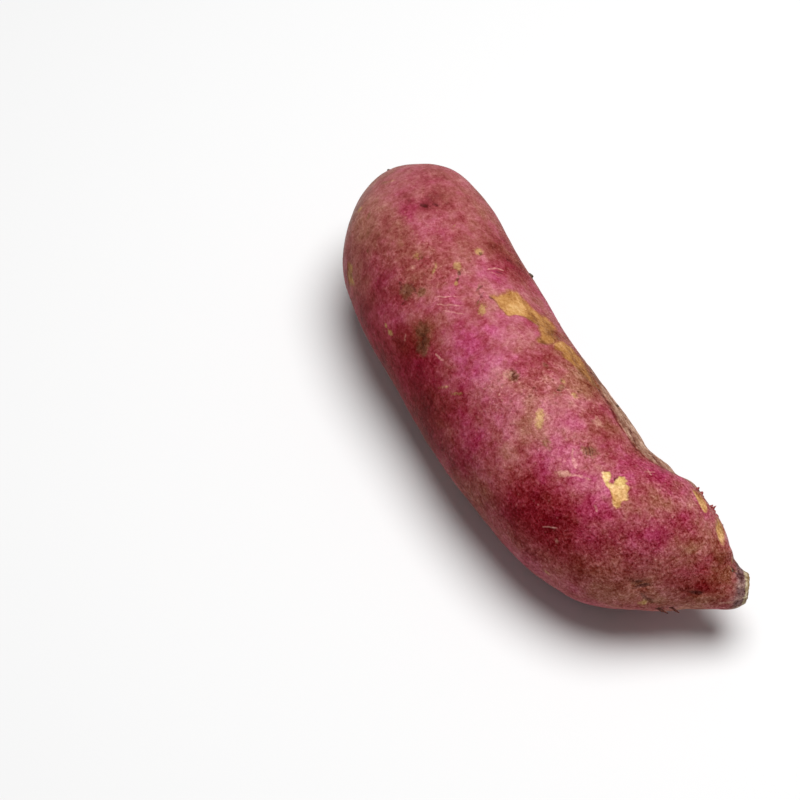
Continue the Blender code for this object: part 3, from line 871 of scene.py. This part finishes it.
def skin_material():
    g = Graph("sweet_potato_skin")
    ragged, speckle = g.wave("ragged"), g.given("speckle")
    light, base = plain_skin(g)
    base = marked_skin(g, base, light, ragged, speckle)
    base = cut_stalk(g, scraped_skin(g, base, ragged), ragged)
    grain = skin_grain(g, ragged, speckle)
    g.put(g.shader.inputs["Base Color"], g.brighten(base, grain))

    height = g.sum(g.times(light, 0.4), g.times(grain, 0.6))
    height = g.sum(height, g.times(g.noise("fine"), 0.05))
    height = g.sum(height, g.times(g.given("crack"), -0.1))
    bump = g.node("Bump", {"Strength": 1.0, "Distance": MM, "Height": height}, "Normal")
    g.put(g.shader.inputs["Normal"], bump)
    g.put(g.shader.inputs["Roughness"], g.rise(light, 0.3, 0.5, 0.55, 0.7))
    g.shader.inputs["Specular IOR Level"].default_value = 0.3
    g.shader.inputs["IOR"].default_value = 1.12
    g.shader.inputs["Sheen Weight"].default_value = 0.7
    g.shader.inputs["Sheen Roughness"].default_value = 0.22
    g.shader.inputs["Sheen Tint"].default_value = (0.26, 0.27, 0.24, 1.0)
    return g.material


# Hair roots: where each grows, its length and thickness, the way that it points, and how much it droops.
Rootlet = namedtuple("Rootlet", "x turn length thick way droop")
ROOTLETS = each(Rootlet, (
    (84.9, 187.5, 4.2, 1.1, (0.92, 0.5, 0), 0.1), (86.5, 186.5, 3.6, 1, (0.95, 0.33, 0), 0.1),
    (-94.4, 290, 5, 0.5, (-0.9, 0.2, -0.2), 0.6), (-94.8, 330, 2.4, 0.4, (-0.9, 0.5, 0.3), -0.4),
))
LEAST_RISE = 0.3  # the least share of a rootlet's way that points out of the skin
ROOTLET_SIDES = 6
ROOTLET_STEPS = 9
ROOTLET_SINK = 0.4  # how far under the skin it starts
ROOTLET_TAPER = 0.6
ROOTLET_WANDER = 0.3
ROOTLET_BULGE = 0.25

# Nubs of dry root and grains of soil: where, and half the size along, across and out of the skin.
Crumb = namedtuple("Crumb", "x turn along across out")
CRUMBS = each(Crumb, (
    (-31, 25, 1.3, 0.7, 1.1), (-91, 99.5, 0.5, 0.5, 0.6), (28.5, 35, 0.7, 0.4, 0.9),
    (89, 84, 0.5, 0.45, 0.5),
))

# Reddish shreds of peeled skin, made like the crumbs.
SHREDS = each(Crumb, (
    (64.6, 34, 0.6, 0.5, 1.3), (65.4, 33, 0.7, 0.5, 1.5), (66.4, 33.5, 0.6, 0.5, 0.7),
    (69.8, 33, 0.5, 0.6, 1.3), (70.8, 32, 0.5, 0.4, 2), (71.6, 32, 0.8, 0.5, 0.8),
    (73.2, 34, 0.9, 0.4, 0.5), (68.2, 37, 1, 0.4, 0.4),
))
HIDDEN_ROOTLETS = 7
HIDDEN_CRUMBS = 9
SHRED_SEED = 40
CRUMB_LUMPS = 0.35  # how lumpy the crumbs are
CRUMB_SINK = 0.35  # how far their middle lies under the skin, as a share of half their height


def hidden_bits(draw):
    """Hair roots and crumbs for the sides that the photo doesn't show."""
    hairs = [Rootlet(draw.uniform(*HIDDEN_RUN), draw.uniform(*HIDDEN_UPPER), draw.uniform(1.5, 5.0),
                     draw.uniform(0.3, 0.5), draw.normal(size=3), draw.uniform(0.2, 0.9))
             for _ in range(HIDDEN_ROOTLETS)]
    crumbs = [Crumb(draw.uniform(*HIDDEN_RUN), draw.uniform(*HIDDEN_UPPER), *draw.uniform(0.35, 0.8, 3))
              for _ in range(HIDDEN_CRUMBS)]
    return hairs, crumbs


def footing(places, x, turn):
    """The point of the skin nearest to a place, and the ways along the root, round it and outwards there."""
    near = np.argmin(np.hypot(*places.off(x, turn)) + np.where(places.radius < 1, FAR, 0))
    out = places.out[near]
    step = np.array((1.0, *(middle_at(x + 1) - middle_at(x - 1)) / 2))
    along = step - (step @ out) * out
    along /= np.linalg.norm(along)
    return places.point[near], along, np.cross(along, out), out


def rootlet_rings(places, hair, seed):
    """The rings of one tapered, wandering hair root, from under the skin to its tip."""
    start, _, _, out = footing(places, hair.x, hair.turn)
    ahead = np.array(hair.way) / np.linalg.norm(hair.way)
    ahead += out * max(0.0, LEAST_RISE - ahead @ out)
    side = np.cross(ahead, out)
    side /= np.linalg.norm(side)
    middle = start - out * ROOTLET_SINK
    rings = []
    for step in range(ROOTLET_STEPS):
        share = step / (ROOTLET_STEPS - 1)
        way = ahead - out * hair.droop * share + side * ROOTLET_WANDER * np.sin(2.6 * step + seed)
        way /= np.linalg.norm(way)
        cap = np.cross(way, side)
        cap /= np.linalg.norm(cap)
        bulge = 1 + ROOTLET_BULGE * np.sin(5.1 * step + seed)
        radius = hair.thick / 2 * (1 - ROOTLET_TAPER * share) * bulge
        turns = np.arange(ROOTLET_SIDES) / ROOTLET_SIDES * 2 * np.pi
        rings.append(middle + radius * (np.cos(turns)[:, None] * side + np.sin(turns)[:, None] * cap))
        middle = middle + way * hair.length / (ROOTLET_STEPS - 1)
    return np.array(rings)


def add_rings(shape, rings):
    """Closes the rings into one tube with a flat face at each end."""
    loops = [[shape.verts.new(point * MM) for point in ring] for ring in rings]
    for first, second in zip(loops, loops[1:]):
        for k in range(len(first)):
            beside = (k + 1) % len(first)
            shape.faces.new((first[k], second[k], second[beside], first[beside]))
    shape.faces.new(loops[0])
    shape.faces.new(loops[-1][::-1])


def add_crumb(shape, places, crumb, seed):
    """One lumpy crumb, sunk into the skin."""
    at, along, around, out = footing(places, crumb.x, crumb.turn)
    ball = bmesh.ops.create_icosphere(shape, subdivisions=2, radius=1.0)["verts"]
    for vert in ball:
        way = np.array(vert.co)
        lump = 1 + CRUMB_LUMPS * noise.noise(vert.co * 1.7 + Vector((seed * 3.1, 0, 0)))
        local = way * (crumb.along, crumb.across, crumb.out) * lump
        spot = at + along * local[0] + around * local[1] + out * (local[2] - CRUMB_SINK * crumb.out)
        vert.co = Vector(spot * MM)


def bit_material(name, dark, light):
    """Dull dry root or soil, in two tones."""
    g = Graph(name)
    tone = g.noise("soil")
    g.put(g.shader.inputs["Base Color"], g.ramp(tone, ((0.35, dark), (0.65, light))))
    g.shader.inputs["Roughness"].default_value = 0.85
    g.shader.inputs["Specular IOR Level"].default_value = 0.1
    return g.material


def make_piece(name, shape, material):
    bmesh.ops.recalc_face_normals(shape, faces=shape.faces)
    mesh = bpy.data.meshes.new(name)
    shape.to_mesh(mesh)
    shape.free()
    mesh.shade_smooth()
    mesh.materials.append(material)
    piece = add_object(name, mesh)
    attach(piece, "root")


def make_bits(skin):
    places = Places(skin.data)
    hairs, crumbs = hidden_bits(np.random.default_rng(HIDDEN_SEED + 1))
    shape = bmesh.new()
    for seed, hair in enumerate((*ROOTLETS, *hairs)):
        add_rings(shape, rootlet_rings(places, hair, seed))
    make_piece("rootlets", shape, bit_material("dry_rootlet", (52, 26, 24), (112, 62, 52)))
    shape = bmesh.new()
    for seed, crumb in enumerate((*CRUMBS, *crumbs)):
        add_crumb(shape, places, crumb, seed)
    make_piece("crumbs", shape, bit_material("dry_crumb", (46, 36, 32), (108, 88, 72)))
    shape = bmesh.new()
    for seed, crumb in enumerate(SHREDS):
        add_crumb(shape, places, crumb, seed + SHRED_SEED)
    make_piece("shreds", shape, bit_material("dry_shred", (104, 36, 40), (168, 92, 88)))


skin = fine_skin(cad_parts["tuber"])
finish_skin(skin)
skin.data.materials.append(skin_material())
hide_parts("tuber")
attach(skin, "root")
make_bits(skin)

FLOOR_HALF = 4.0  # half the floor's side, in metres
KEY_PLACE = (0.03, 0.19, 1.2)  # one large round lamp, high on the side away from the camera,
KEY_SIZE = 0.9
KEY_POWER = 18.2
KEY_TARGET = (0, 0, 0.02)
SKY_STRENGTH = 0.18  # and a weak even light from all round
HEADING = 61.7  # the camera's heading and pitch in degrees, its lens, and where it is
PITCH = 53.0
LENS = 122.4
CAMERA_PLACE = (0.43686, -0.27542, 0.70912)


def make_floor():
    mesh = bpy.data.meshes.new("floor")
    corners = [(x * FLOOR_HALF, y * FLOOR_HALF, 0) for x, y in ((-1, -1), (1, -1), (1, 1), (-1, 1))]
    mesh.from_pydata(corners, [], [(0, 1, 2, 3)])
    floor = add_object("floor", mesh)
    g = Graph("pale_floor")
    g.shader.inputs["Base Color"].default_value = (0.8, 0.8, 0.8, 1)
    g.shader.inputs["Roughness"].default_value = 0.9
    mesh.materials.append(g.material)


def make_light():
    lamp = bpy.data.lights.new("key", "AREA")
    lamp.shape = "DISK"
    lamp.size = KEY_SIZE
    lamp.energy = KEY_POWER
    key = add_object("key", lamp)
    key.location = KEY_PLACE
    key.rotation_euler = (key.location - Vector(KEY_TARGET)).to_track_quat("Z", "Y").to_euler()
    world = bpy.data.worlds.new("studio")
    world.use_nodes = True
    world.node_tree.nodes["Background"].inputs["Color"].default_value = (1, 1, 1, 1)
    world.node_tree.nodes["Background"].inputs["Strength"].default_value = SKY_STRENGTH
    bpy.context.scene.world = world


def make_camera():
    """The camera looks down on the root, so that it shows in the same place and size as in the photo."""
    heading, pitch = np.radians(HEADING), np.radians(PITCH)
    right = Vector((np.cos(heading), np.sin(heading), 0))
    back = Vector((np.sin(heading) * np.cos(pitch), -np.cos(heading) * np.cos(pitch), np.sin(pitch)))
    up = back.cross(right)
    lens = bpy.data.cameras.new("camera")
    lens.sensor_width = 36.0
    lens.lens = LENS
    lens.clip_start = 0.01
    camera = add_object("camera", lens)
    matrix = np.eye(4)
    matrix[:3, 0], matrix[:3, 1], matrix[:3, 2] = right, up, back
    matrix[:3, 3] = CAMERA_PLACE
    camera.matrix_world = Matrix(matrix.tolist())
    bpy.context.scene.camera = camera


make_floor()
make_light()
make_camera()
bpy.context.scene.view_settings.view_transform = "Standard"
